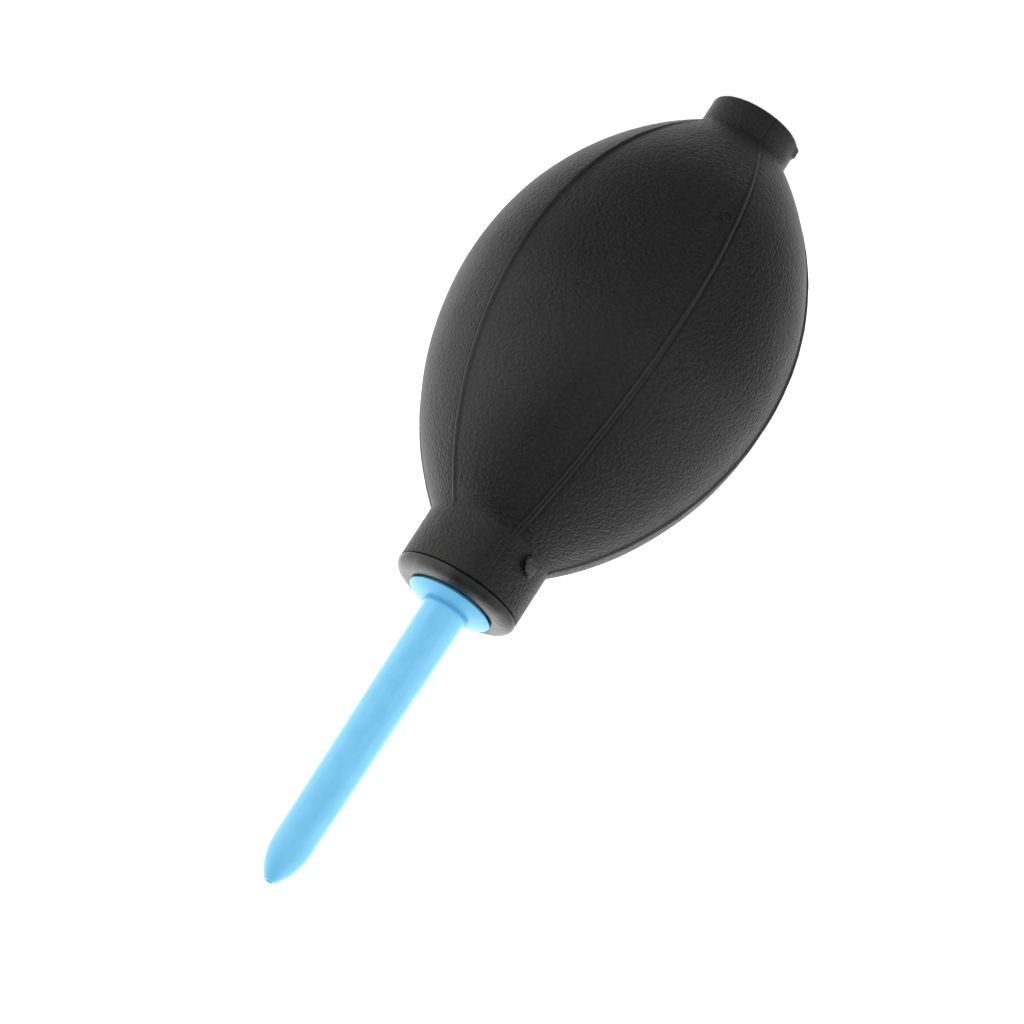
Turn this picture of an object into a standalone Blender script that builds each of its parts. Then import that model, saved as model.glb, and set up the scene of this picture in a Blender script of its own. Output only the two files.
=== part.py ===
"""Dust blower bulb: a hand-held rubber bulb with a plug-in nozzle and an air inlet valve.

Frame: +Z runs along the axis towards the nozzle's tip. The origin is the centre of the flat rear
rim, which the blower stands on. +X and -X face the two walls that finger and thumb press in.

Sub-parts, from the rear to the tip:
    inlet_valve_body, inlet_valve_disc, inlet_valve_cage   one-way inlet in the rear collar
    bulb_shell, squeeze_wall_right, squeeze_wall_left      the moulded rubber bulb and its soft walls
    neck_bung, nozzle_flange, nozzle_tube                  the mouth's bung and the nozzle set in it
"""

import math

import bmesh
import bpy

MM = 0.001

# Driving dimensions
TOTAL_LENGTH = 136.0 * MM
GAP = 0.3 * MM              # clearance between pieces that touch
WALL = 2.4 * MM             # thickness of the bulb's rubber

# Bulb: two arcs that meet smoothly at its widest ring
BULB_RADIUS = 25.0 * MM
WIDEST_Z = 40.3 * MM
REAR_ARC = 44.4 * MM
FRONT_ARC = 49.2 * MM

# Rear collar and its stepped bore
COLLAR_RADIUS = 7.1 * MM
COLLAR_ROUND = 0.6 * MM
COUNTERBORE_RADIUS = 5.0 * MM
COUNTERBORE_DEPTH = 1.6 * MM
INLET_BORE_RADIUS = 4.4 * MM

# Neck and its bore
NECK_RADIUS = 9.7 * MM
NECK_END_Z = 85.0 * MM
NECK_BORE_RADIUS = 7.6 * MM

# Soft walls: oval patches, each pressed straight in along X
PATCH_HALF_WIDTH = 14.0 * MM     # along Y
PATCH_HALF_HEIGHT = 17.0 * MM    # along Z
PATCH_REACH = 30.0 * MM          # the cutter's outer end
PATCH_ROOT = 8.0 * MM            # the cutter's inner end, inside the hollow

# Bung: a rounded lip over the neck's end, with a plug in the neck
LIP_TOP_Z = 87.0 * MM
LIP_ROUND_START_Z = NECK_END_Z + GAP
LIP_RADIUS = 9.65 * MM
LIP_ROUND_WIDTH = 2.55 * MM
PLUG_RADIUS = NECK_BORE_RADIUS - GAP
PLUG_WAIST_RADIUS = 6.9 * MM
PLUG_END_Z = 76.2 * MM
BUNG_BORE_RADIUS = 5.3 * MM
RECESS_RADIUS = 6.96 * MM
RECESS_Z = 86.2 * MM

# Nozzle flange: a shallow dome over a hollow hub
FLANGE_RADIUS = 6.66 * MM
FLANGE_UNDER_Z = RECESS_Z + GAP
FLANGE_RIM_Z = 87.4 * MM
FLANGE_TOP_Z = 88.7 * MM
FLANGE_TOP_RADIUS = 4.0 * MM
HUB_RADIUS = BUNG_BORE_RADIUS - GAP
HUB_WAIST_RADIUS = 4.75 * MM
HUB_END_Z = 77.0 * MM
HUB_FLOOR = 1.4 * MM
HUB_HOLE_RADIUS = 1.9 * MM

# Nozzle tube: a slow taper that ends in a blunt curved point
TUBE_ROOT_RADIUS = 3.38 * MM
TUBE_TAPER_RADIUS = 3.02 * MM
TUBE_TAPER_END_Z = 128.0 * MM
TIP_CURVE_LENGTH = 8.7 * MM
TIP_CURVE_POWER = 2.8
TUBE_END_Z = HUB_END_Z + HUB_FLOOR + GAP
TUBE_BORE_ROOT_RADIUS = 1.9 * MM
TUBE_BORE_TAPER_RADIUS = 1.2 * MM
TIP_HOLE_RADIUS = 0.4 * MM
TIP_HOLE_Z = 133.0 * MM
SOCKET_RADIUS = TUBE_ROOT_RADIUS + GAP

# Inlet valve
VALVE_REAR_Z = 0.4 * MM
VALVE_HEAD_RADIUS = COUNTERBORE_RADIUS - GAP
VALVE_HEAD_TOP_Z = COUNTERBORE_DEPTH - GAP
VALVE_STEM_RADIUS = INLET_BORE_RADIUS - GAP
BARB_RADIUS = 5.2 * MM
BARB_Z = 6.7 * MM
BARB_FLAT = 0.4 * MM
VALVE_TOP_Z = 8.2 * MM
VALVE_CUP_RADIUS = 3.4 * MM
VALVE_FLOOR_Z = 1.4 * MM
VALVE_SEAT_Z = 1.7 * MM
VALVE_SEAT_RADIUS = 2.0 * MM
VALVE_HOLE_RADIUS = 1.4 * MM
DISC_RADIUS = 2.9 * MM
DISC_THICKNESS = 0.6 * MM
DISC_LIFT = 0.8 * MM
CAGE_RADIUS = VALVE_CUP_RADIUS - GAP
CAGE_INNER_RADIUS = 2.2 * MM
CAGE_Z = VALVE_SEAT_Z + GAP + DISC_THICKNESS + DISC_LIFT + GAP
CAGE_HEIGHT = 1.8 * MM
CAGE_BAR_WIDTH = 0.8 * MM
CAGE_BAR_HEIGHT = 0.9 * MM
CAGE_BARS = 2

# Facets
BULB_STEPS = 60
NECK_STEPS = 40
TUBE_STEPS = 32
VALVE_STEPS = 28
ARC_POINTS = 8
MERGE = 0.00001

PARTS = "dust_blower_bulb"
CUTTERS = "dust_blower_cutters"


def clear_scene():
    for item in list(bpy.data.objects):
        bpy.data.objects.remove(item, do_unlink=True)


def collection(name):
    group = bpy.data.collections.new(name)
    bpy.context.scene.collection.children.link(group)
    return group


def principled(name, colour, roughness, metallic=0.0):
    material = bpy.data.materials.new(name)
    material.use_nodes = True
    shader = material.node_tree.nodes["Principled BSDF"]
    shader.inputs["Base Color"].default_value = (*colour, 1.0)
    shader.inputs["Roughness"].default_value = roughness
    shader.inputs["Metallic"].default_value = metallic
    material.diffuse_color = (*colour, 1.0)
    return material


def turned(name, profile, steps, material, group, closed=True, origin_z=0.0):
    """A solid turned about Z from (radius, z) points that run down its outer side and up its bore."""
    mesh = bpy.data.meshes.new(name)
    shape = bmesh.new()
    points = [shape.verts.new((radius, 0.0, z - origin_z)) for radius, z in profile]
    for start, end in zip(points, points[1:]):
        shape.edges.new((start, end))
    if closed:
        shape.edges.new((points[-1], points[0]))
    shape.to_mesh(mesh)
    shape.free()
    piece = bpy.data.objects.new(name, mesh)
    piece.location.z = origin_z
    group.objects.link(piece)
    mesh.materials.append(material)
    screw = piece.modifiers.new("turn", "SCREW")
    screw.steps = steps
    screw.render_steps = steps
    screw.use_merge_vertices = True
    screw.merge_threshold = MERGE
    screw.use_smooth_shade = True
    return piece


def arc(centre_r, centre_z, size_r, size_z, start, end, count=ARC_POINTS):
    """Points on an ellipse's arc, by angle in degrees from +r towards +z."""
    points = []
    for i in range(count):
        angle = math.radians(start + (end - start) * i / (count - 1))
        points.append((centre_r + size_r * math.cos(angle), centre_z + size_z * math.sin(angle)))
    return points


def bulb_side(offset, front_radius, rear_radius):
    """The bulb's meridian at a depth below its skin, from front_radius down to rear_radius."""
    front_centre = BULB_RADIUS - FRONT_ARC
    rear_centre = BULB_RADIUS - REAR_ARC
    front_angle = math.degrees(math.acos((front_radius - front_centre) / (FRONT_ARC - offset)))
    rear_angle = math.degrees(math.acos((rear_radius - rear_centre) / (REAR_ARC - offset)))
    front_size = FRONT_ARC - offset
    rear_size = REAR_ARC - offset
    front = arc(front_centre, WIDEST_Z, front_size, front_size, front_angle, 0.0)
    rear = arc(rear_centre, WIDEST_Z, rear_size, rear_size, 0.0, -rear_angle)
    return front + rear[1:]


def bulb_profile():
    outside = [(NECK_BORE_RADIUS, NECK_END_Z), (NECK_RADIUS, NECK_END_Z)]
    outside += bulb_side(0.0, NECK_RADIUS, COLLAR_RADIUS)
    outside += arc(COLLAR_RADIUS - COLLAR_ROUND, COLLAR_ROUND, COLLAR_ROUND, COLLAR_ROUND, 0.0, -90.0, 4)
    bore = [
        (COUNTERBORE_RADIUS, 0.0),
        (COUNTERBORE_RADIUS, COUNTERBORE_DEPTH),
        (INLET_BORE_RADIUS, COUNTERBORE_DEPTH),
    ]
    hollow = bulb_side(WALL, NECK_BORE_RADIUS, INLET_BORE_RADIUS)
    hollow.reverse()
    return outside + bore + hollow


def oval_cutter(name, side, grow, group):
    """An oval prism along X through one side wall, larger all round by grow."""
    bpy.ops.mesh.primitive_cylinder_add(vertices=BULB_STEPS, radius=1.0, depth=PATCH_REACH - PATCH_ROOT)
    cutter = bpy.context.object
    cutter.name = name
    for vertex in cutter.data.vertices:
        y, z, x = vertex.co
        vertex.co = (x, y * (PATCH_HALF_WIDTH + grow), z * (PATCH_HALF_HEIGHT + grow))
    cutter.location = (side * (PATCH_REACH + PATCH_ROOT) / 2.0, 0.0, WIDEST_Z)
    for owner in list(cutter.users_collection):
        owner.objects.unlink(cutter)
    group.objects.link(cutter)
    cutter.hide_render = True
    cutter.display_type = "WIRE"
    return cutter


def boolean(piece, cutter, operation):
    modifier = piece.modifiers.new(cutter.name, "BOOLEAN")
    modifier.operation = operation
    modifier.object = cutter


def make_bulb(rubber, parts, cutters):
    """The moulded bulb, with its two soft walls as separate patches set in oval windows."""
    shell = turned("bulb_shell", bulb_profile(), BULB_STEPS, rubber, parts)
    for name, side in (("squeeze_wall_right", 1.0), ("squeeze_wall_left", -1.0)):
        boolean(shell, oval_cutter(name + "_window", side, GAP, cutters), "DIFFERENCE")
        patch = turned(name, bulb_profile(), BULB_STEPS, rubber, parts)
        boolean(patch, oval_cutter(name + "_outline", side, 0.0, cutters), "INTERSECT")


def make_bung(rubber, parts):
    """The neck's bung: lip, ribbed plug and bore, with a recess for the nozzle's flange."""
    lip_centre = LIP_RADIUS - LIP_ROUND_WIDTH
    profile = arc(lip_centre, LIP_ROUND_START_Z, LIP_ROUND_WIDTH, LIP_TOP_Z - LIP_ROUND_START_Z, 90.0, 0.0, 7)
    profile.append((PLUG_RADIUS, LIP_ROUND_START_Z))
    rib_pitch = (LIP_ROUND_START_Z - PLUG_END_Z) / 3.0
    for rib in range(3):
        top = LIP_ROUND_START_Z - rib * rib_pitch
        profile += [
            (PLUG_RADIUS, top - 0.4 * rib_pitch),
            (PLUG_WAIST_RADIUS, top - 0.6 * rib_pitch),
            (PLUG_WAIST_RADIUS, top - 0.9 * rib_pitch),
        ]
        if rib < 2:
            profile.append((PLUG_RADIUS, top - rib_pitch))
    profile += [
        (PLUG_WAIST_RADIUS - GAP, PLUG_END_Z),
        (BUNG_BORE_RADIUS, PLUG_END_Z),
        (BUNG_BORE_RADIUS, RECESS_Z),
        (RECESS_RADIUS, RECESS_Z),
        (RECESS_RADIUS, LIP_TOP_Z),
    ]
    turned("neck_bung", profile, NECK_STEPS, rubber, parts)


def make_flange(plastic, parts):
    """The domed flange and the hollow hub that plugs into the bung, with its socket for the tube."""
    dome = []
    for i in range(6):
        t = i / 5.0
        radius = FLANGE_TOP_RADIUS + (FLANGE_RADIUS - FLANGE_TOP_RADIUS) * t
        dome.append((radius, FLANGE_RIM_Z + (FLANGE_TOP_Z - FLANGE_RIM_Z) * (1.0 - t ** 1.6)))
    profile = [(SOCKET_RADIUS, FLANGE_TOP_Z)] + dome
    profile += [
        (FLANGE_RADIUS, FLANGE_UNDER_Z),
        (HUB_RADIUS, FLANGE_UNDER_Z),
        (HUB_RADIUS, FLANGE_UNDER_Z - 3.0 * MM),
        (HUB_WAIST_RADIUS, FLANGE_UNDER_Z - 3.4 * MM),
        (HUB_WAIST_RADIUS, HUB_END_Z + 2.0 * MM),
        (HUB_RADIUS, HUB_END_Z + 1.6 * MM),
        (HUB_WAIST_RADIUS, HUB_END_Z),
        (HUB_HOLE_RADIUS, HUB_END_Z),
        (HUB_HOLE_RADIUS, HUB_END_Z + HUB_FLOOR),
        (SOCKET_RADIUS, HUB_END_Z + HUB_FLOOR),
    ]
    turned("nozzle_flange", profile, NECK_STEPS, plastic, parts, origin_z=FLANGE_UNDER_Z)


def tip_radius(z):
    """The tube's outer radius on the tip's curve."""
    along = (z - TUBE_TAPER_END_Z) / TIP_CURVE_LENGTH
    return TUBE_TAPER_RADIUS * (1.0 - along ** TIP_CURVE_POWER)


def make_tube(plastic, parts):
    """The nozzle tube, bored through and closed down to the small air hole at its tip."""
    tip_points = 10
    profile = [(TIP_HOLE_RADIUS, TOTAL_LENGTH)]
    for i in range(tip_points):
        z = TOTAL_LENGTH - (TOTAL_LENGTH - TUBE_TAPER_END_Z) * i / tip_points
        profile.append((tip_radius(z), z))
    profile += [
        (TUBE_TAPER_RADIUS, TUBE_TAPER_END_Z),
        (TUBE_ROOT_RADIUS, FLANGE_TOP_Z),
        (TUBE_ROOT_RADIUS, TUBE_END_Z),
        (TUBE_BORE_ROOT_RADIUS, TUBE_END_Z),
        (TUBE_BORE_TAPER_RADIUS, TUBE_TAPER_END_Z),
        (TIP_HOLE_RADIUS, TIP_HOLE_Z),
    ]
    turned("nozzle_tube", profile, TUBE_STEPS, plastic, parts, origin_z=FLANGE_UNDER_Z)


def make_valve_body(plastic, parts):
    """The valve's cup, snapped into the rear collar's stepped bore by its barb."""
    profile = [
        (VALVE_CUP_RADIUS, VALVE_TOP_Z),
        (VALVE_STEM_RADIUS, VALVE_TOP_Z),
        (BARB_RADIUS, BARB_Z + BARB_FLAT),
        (BARB_RADIUS, BARB_Z),
        (VALVE_STEM_RADIUS, BARB_Z),
        (VALVE_STEM_RADIUS, VALVE_HEAD_TOP_Z),
        (VALVE_HEAD_RADIUS, VALVE_HEAD_TOP_Z),
        (VALVE_HEAD_RADIUS, VALVE_REAR_Z),
        (VALVE_HOLE_RADIUS, VALVE_REAR_Z),
        (VALVE_HOLE_RADIUS, VALVE_SEAT_Z),
        (VALVE_SEAT_RADIUS, VALVE_SEAT_Z),
        (VALVE_SEAT_RADIUS + GAP, VALVE_FLOOR_Z),
        (VALVE_CUP_RADIUS, VALVE_FLOOR_Z),
    ]
    turned("inlet_valve_body", profile, VALVE_STEPS, plastic, parts)


def make_valve_disc(rubber, parts):
    """The loose flap disc over the seat, whose rest height is its object's origin."""
    bottom = VALVE_SEAT_Z + GAP
    profile = [
        (0.0, bottom + DISC_THICKNESS),
        (DISC_RADIUS, bottom + DISC_THICKNESS),
        (DISC_RADIUS, bottom),
        (0.0, bottom),
    ]
    turned("inlet_valve_disc", profile, VALVE_STEPS, rubber, parts, closed=False, origin_z=bottom)


def make_valve_cage(plastic, parts, cutters):
    """The ring with crossed bars that keeps the disc in its cup."""
    profile = [
        (CAGE_INNER_RADIUS, CAGE_Z + CAGE_HEIGHT),
        (CAGE_RADIUS, CAGE_Z + CAGE_HEIGHT),
        (CAGE_RADIUS, CAGE_Z),
        (CAGE_INNER_RADIUS, CAGE_Z),
    ]
    cage = turned("inlet_valve_cage", profile, VALVE_STEPS, plastic, parts)
    for bar in range(CAGE_BARS):
        bpy.ops.mesh.primitive_cube_add(size=1.0)
        solid = bpy.context.object
        solid.name = f"inlet_cage_bar_{bar}"
        for vertex in solid.data.vertices:
            vertex.co.x *= CAGE_INNER_RADIUS + CAGE_RADIUS
            vertex.co.y *= CAGE_BAR_WIDTH
            vertex.co.z *= CAGE_BAR_HEIGHT
        solid.location.z = CAGE_Z + CAGE_BAR_HEIGHT / 2.0 + bar * 0.05 * MM
        solid.rotation_euler.z = math.pi * (bar + 0.5) / CAGE_BARS
        for owner in list(solid.users_collection):
            owner.objects.unlink(solid)
        cutters.objects.link(solid)
        solid.hide_render = True
        solid.display_type = "WIRE"
        boolean(cage, solid, "UNION")


def main():
    clear_scene()
    parts = collection(PARTS)
    cutters = collection(CUTTERS)
    grained_rubber = principled("grained_rubber", (0.022, 0.022, 0.025), 0.55)
    smooth_rubber = principled("smooth_rubber", (0.015, 0.015, 0.017), 0.4)
    blue_plastic = principled("blue_plastic", (0.20, 0.52, 0.86), 0.35)
    valve_plastic = principled("valve_plastic", (0.05, 0.05, 0.055), 0.45)
    make_bulb(grained_rubber, parts, cutters)
    make_bung(smooth_rubber, parts)
    make_flange(blue_plastic, parts)
    make_tube(blue_plastic, parts)
    make_valve_body(valve_plastic, parts)
    make_valve_disc(smooth_rubber, parts)
    make_valve_cage(valve_plastic, parts, cutters)


if __name__ == "__main__":
    main()
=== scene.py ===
"""Looks of a dust blower bulb: a grained black rubber bulb with moulded seams and a light blue nozzle.

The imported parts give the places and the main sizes. This script builds the fine pieces around them,
dresses them in procedural finishes, and sets up the studio. Lengths are in metres, +Z runs along the
blower's axis to the nozzle's tip, and -Y is the side with the front seam.
"""

import logging
import math
from collections.abc import Iterable
from dataclasses import astuple, dataclass
from enum import Enum

import bmesh
import bpy
from mathutils import Matrix, Vector


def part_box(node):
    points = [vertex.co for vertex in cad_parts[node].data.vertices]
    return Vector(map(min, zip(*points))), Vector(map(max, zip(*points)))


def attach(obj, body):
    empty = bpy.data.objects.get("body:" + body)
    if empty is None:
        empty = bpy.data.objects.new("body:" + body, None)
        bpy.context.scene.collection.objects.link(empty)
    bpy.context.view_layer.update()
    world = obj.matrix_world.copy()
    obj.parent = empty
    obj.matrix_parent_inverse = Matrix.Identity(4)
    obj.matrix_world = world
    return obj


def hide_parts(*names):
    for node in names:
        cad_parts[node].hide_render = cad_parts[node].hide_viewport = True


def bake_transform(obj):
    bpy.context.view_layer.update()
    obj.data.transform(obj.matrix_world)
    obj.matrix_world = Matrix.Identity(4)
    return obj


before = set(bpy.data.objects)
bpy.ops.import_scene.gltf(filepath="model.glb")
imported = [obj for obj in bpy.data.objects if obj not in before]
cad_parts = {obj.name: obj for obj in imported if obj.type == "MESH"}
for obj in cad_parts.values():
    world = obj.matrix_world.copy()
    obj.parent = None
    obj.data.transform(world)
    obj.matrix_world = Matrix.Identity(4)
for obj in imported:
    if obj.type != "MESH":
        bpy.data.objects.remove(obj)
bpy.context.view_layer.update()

MM = 0.001
LOG = logging.getLogger("dust_blower")

Point = tuple[float, float]
Outline = list[Point]

# The flange's blue is the same plastic as the tube, painted darker as painted shade for the light that
# falls on its dome.
FLANGE_SHADED_DEEP = (0.108, 0.398, 0.640)
FLANGE_SHADED_PALE = (0.136, 0.440, 0.680)

# The neck was moulded a little off the bulb's axis, and the nozzle leans back towards the axis at its tip.
NECK_SHIFT = Vector((-0.26, -0.07, 0.0)) * MM


class Body(Enum):
    """The rigid bodies that pieces ride on."""

    BULB = "bulb"
    WALL_RIGHT = "wall_right"
    WALL_LEFT = "wall_left"
    NOZZLE = "nozzle"
    INLET_DISC = "inlet_disc"


class Slot(Enum):
    """The record's material slots."""

    GRAINED_RUBBER = "grained_rubber"
    SMOOTH_RUBBER = "smooth_rubber"
    BLUE_PLASTIC = "blue_plastic"
    VALVE_PLASTIC = "valve_plastic"


# ---------------------------------------------------------------- node arithmetic


class Number:
    """A number that flows through a node tree, so that formulas read as plain arithmetic."""

    def __init__(self, tree: bpy.types.NodeTree, socket: bpy.types.NodeSocket) -> None:
        """Wraps one output socket of a tree."""
        self.tree = tree
        self.socket = socket

    def maths(self, operation: str, *others: "Number | float") -> "Number":
        """Adds a Math node.

        Args:
            operation: the Math node's operation.
            others: its further inputs, as numbers of the tree or plain constants.

        Returns:
            The node's result.
        """
        node = self.tree.nodes.new("ShaderNodeMath")
        node.operation = operation
        for place, value in enumerate((self, *others)):
            if isinstance(value, Number):
                self.tree.links.new(value.socket, node.inputs[place])
            else:
                node.inputs[place].default_value = value
        return Number(self.tree, node.outputs[0])

    def __add__(self, other: "Number | float") -> "Number":
        """Sum."""
        return self.maths("ADD", other)

    def __radd__(self, other: float) -> "Number":
        """Sum with a constant on the left."""
        return self.maths("ADD", other)

    def __sub__(self, other: "Number | float") -> "Number":
        """Difference."""
        return self.maths("SUBTRACT", other)

    def __rsub__(self, other: float) -> "Number":
        """Difference from a constant."""
        return self.maths("MULTIPLY", -1.0).maths("ADD", other)

    def __mul__(self, other: "Number | float") -> "Number":
        """Product."""
        return self.maths("MULTIPLY", other)

    def __rmul__(self, other: float) -> "Number":
        """Product with a constant on the left."""
        return self.maths("MULTIPLY", other)

    def __truediv__(self, other: "Number | float") -> "Number":
        """Quotient."""
        return self.maths("DIVIDE", other)

    def clamped(self) -> "Number":
        """The number kept between 0 and 1."""
        return self.maths("MAXIMUM", 0.0).maths("MINIMUM", 1.0)

    def bell(self, width: "Number | float") -> "Number":
        """A bell curve of height 1 around 0."""
        share = self / width
        return (share * share * -1.0).maths("EXPONENT")

    def ramp(self, low: float, high: float) -> "Number":
        """A smooth rise from 0 at low to 1 at high.

        Args:
            low: where the rise starts.
            high: where it ends.

        Returns:
            The risen share.
        """
        node = self.tree.nodes.new("ShaderNodeMapRange")
        node.interpolation_type = "SMOOTHSTEP"
        self.tree.links.new(self.socket, node.inputs["Value"])
        node.inputs["From Min"].default_value = low
        node.inputs["From Max"].default_value = high
        return Number(self.tree, node.outputs["Result"])


class GeometryTree:
    """A Geometry Nodes tree with named inputs, which is applied to a mesh and removed again."""

    def __init__(self, name: str) -> None:
        """Starts an empty tree with a geometry input and output."""
        self.tree = bpy.data.node_groups.new(name, "GeometryNodeTree")
        self.tree.interface.new_socket(name="Geometry", in_out="INPUT", socket_type="NodeSocketGeometry")
        self.tree.interface.new_socket(name="Geometry", in_out="OUTPUT", socket_type="NodeSocketGeometry")
        self.entry = self.tree.nodes.new("NodeGroupInput")
        self.exit = self.tree.nodes.new("NodeGroupOutput")
        self.values: dict[str, float] = {}
        self.flow = self.entry.outputs["Geometry"]

    def size(self, name: str, value: float) -> Number:
        """Adds a named input.

        Args:
            name: the input's name.
            value: what the modifier sets it to.

        Returns:
            The input as a number.
        """
        item = self.tree.interface.new_socket(name=name, in_out="INPUT", socket_type="NodeSocketFloat")
        self.values[item.identifier] = value
        return Number(self.tree, self.entry.outputs[name])

    def attribute(self, name: str) -> Number:
        """The mesh's own attribute of that name."""
        node = self.tree.nodes.new("GeometryNodeInputNamedAttribute")
        node.data_type = "FLOAT"
        node.inputs["Name"].default_value = name
        return Number(self.tree, node.outputs["Attribute"])

    def step(self, kind: str, flow_in: str = "Geometry") -> bpy.types.Node:
        """Adds a node that the geometry passes through.

        Args:
            kind: the node's type.
            flow_in: the socket that the geometry enters by.

        Returns:
            The node, already linked after the last one.
        """
        node = self.tree.nodes.new(kind)
        self.tree.links.new(self.flow, node.inputs[flow_in])
        self.flow = node.outputs[0]
        return node

    def finish(self, material: bpy.types.Material) -> None:
        """Ends the tree in Realize Instances and Set Material."""
        self.step("GeometryNodeRealizeInstances")
        self.step("GeometryNodeSetMaterial").inputs["Material"].default_value = material
        self.tree.links.new(self.flow, self.exit.inputs["Geometry"])

    def applied(self, piece: bpy.types.Object) -> None:
        """Gives the piece the tree's result as its plain mesh.

        Args:
            piece: a mesh object without modifiers.
        """
        modifier = piece.modifiers.new(self.tree.name, "NODES")
        modifier.node_group = self.tree
        for identifier, value in self.values.items():
            modifier[identifier] = value
        bpy.context.view_layer.update()
        depsgraph = bpy.context.evaluated_depsgraph_get()
        result = bpy.data.meshes.new_from_object(piece.evaluated_get(depsgraph))
        piece.modifiers.remove(modifier)
        piece.data = result
        result.name = piece.name


class Finish:
    """Builds one material around a Principled BSDF, with patterns fixed to the piece."""

    def __init__(self, name: str, place: str = "") -> None:
        """Starts a material.

        Args:
            name: the material's name.
            place: the attribute that holds each point's place at rest, or empty for Object coordinates.
        """
        self.material = bpy.data.materials.new(name)
        self.material.use_nodes = True
        self.tree = self.material.node_tree
        self.shader = self.tree.nodes["Principled BSDF"]
        if place:
            node = self.tree.nodes.new("ShaderNodeAttribute")
            node.attribute_name = place
            self.place = node.outputs["Vector"]
        else:
            self.place = self.tree.nodes.new("ShaderNodeTexCoord").outputs["Object"]
        self.normal: bpy.types.NodeSocket | None = None

    def constant(self, **values: float) -> None:
        """Sets constants on the shader's own sockets, named with underscores for spaces."""
        for name, value in values.items():
            self.shader.inputs[name.replace("_", " ")].default_value = value

    def attribute(self, name: str) -> Number:
        """One of the piece's own number attributes."""
        node = self.tree.nodes.new("ShaderNodeAttribute")
        node.attribute_name = name
        return Number(self.tree, node.outputs["Fac"])

    def along(self, axis: str) -> Number:
        """The place's X, Y or Z."""
        node = self.tree.nodes.new("ShaderNodeSeparateXYZ")
        self.tree.links.new(self.place, node.inputs[0])
        return Number(self.tree, node.outputs[axis])

    def stretched(self, x: float, y: float, z: float) -> bpy.types.NodeSocket:
        """The place scaled along each axis."""
        node = self.tree.nodes.new("ShaderNodeMapping")
        node.inputs["Scale"].default_value = (x, y, z)
        self.tree.links.new(self.place, node.inputs["Vector"])
        return node.outputs["Vector"]

    def noise(self, size: float, detail: float = 2.0, place: bpy.types.NodeSocket | None = None) -> Number:
        """Soft noise.

        Args:
            size: the features' size.
            detail: how many finer layers it has.
            place: where it is read, if not at the piece's own place.

        Returns:
            The noise, from 0 to 1.
        """
        node = self.tree.nodes.new("ShaderNodeTexNoise")
        node.inputs["Scale"].default_value = 1.0 / size
        node.inputs["Detail"].default_value = detail
        self.tree.links.new(place or self.place, node.inputs["Vector"])
        return Number(self.tree, node.outputs[0])

    def cells(self, size: float, feature: str = "F1") -> Number:
        """The distance in a pattern of cells, in cell sizes.

        Args:
            size: the cells' size.
            feature: the Voronoi texture's feature.

        Returns:
            The distance.
        """
        node = self.tree.nodes.new("ShaderNodeTexVoronoi")
        node.feature = feature
        node.inputs["Scale"].default_value = 1.0 / size
        self.tree.links.new(self.place, node.inputs["Vector"])
        return Number(self.tree, node.outputs["Distance"])

    def colour(self, amount: Number, low: tuple[float, ...], high: tuple[float, ...]) -> None:
        """Mixes the base colour between two by an amount.

        Args:
            amount: 0 for low and 1 for high.
            low: linear red, green and blue.
            high: linear red, green and blue.
        """
        node = self.tree.nodes.new("ShaderNodeMix")
        node.data_type = "RGBA"
        self.tree.links.new(amount.socket, node.inputs[0])
        node.inputs[6].default_value = (*low, 1.0)
        node.inputs[7].default_value = (*high, 1.0)
        self.tree.links.new(node.outputs[2], self.shader.inputs["Base Color"])

    def cover(self, amount: Number, shade: tuple[float, ...]) -> None:
        """Lays a shade over the base colour that is already there.

        Args:
            amount: how much of it shows, from 0 to 1.
            shade: linear red, green and blue.
        """
        node = self.tree.nodes.new("ShaderNodeMix")
        node.data_type = "RGBA"
        base = self.shader.inputs["Base Color"]
        self.tree.links.new(amount.socket, node.inputs[0])
        self.tree.links.new(base.links[0].from_socket, node.inputs[6])
        node.inputs[7].default_value = (*shade, 1.0)
        self.tree.links.new(node.outputs[2], base)

    def drive(self, name: str, amount: Number) -> None:
        """Drives one of the shader's inputs by a number."""
        self.tree.links.new(amount.socket, self.shader.inputs[name])

    def bump(self, height: Number, depth: float, strength: float = 1.0) -> None:
        """Adds relief on top of any relief already there.

        Args:
            height: the relief, from 0 to 1.
            depth: how deep 1 is.
            strength: how much of it shows.
        """
        node = self.tree.nodes.new("ShaderNodeBump")
        node.inputs["Strength"].default_value = strength
        node.inputs["Distance"].default_value = depth
        self.tree.links.new(height.socket, node.inputs["Height"])
        if self.normal is not None:
            self.tree.links.new(self.normal, node.inputs["Normal"])
        self.normal = node.outputs["Normal"]
        self.tree.links.new(self.normal, self.shader.inputs["Normal"])


# ---------------------------------------------------------------- finishes


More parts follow.
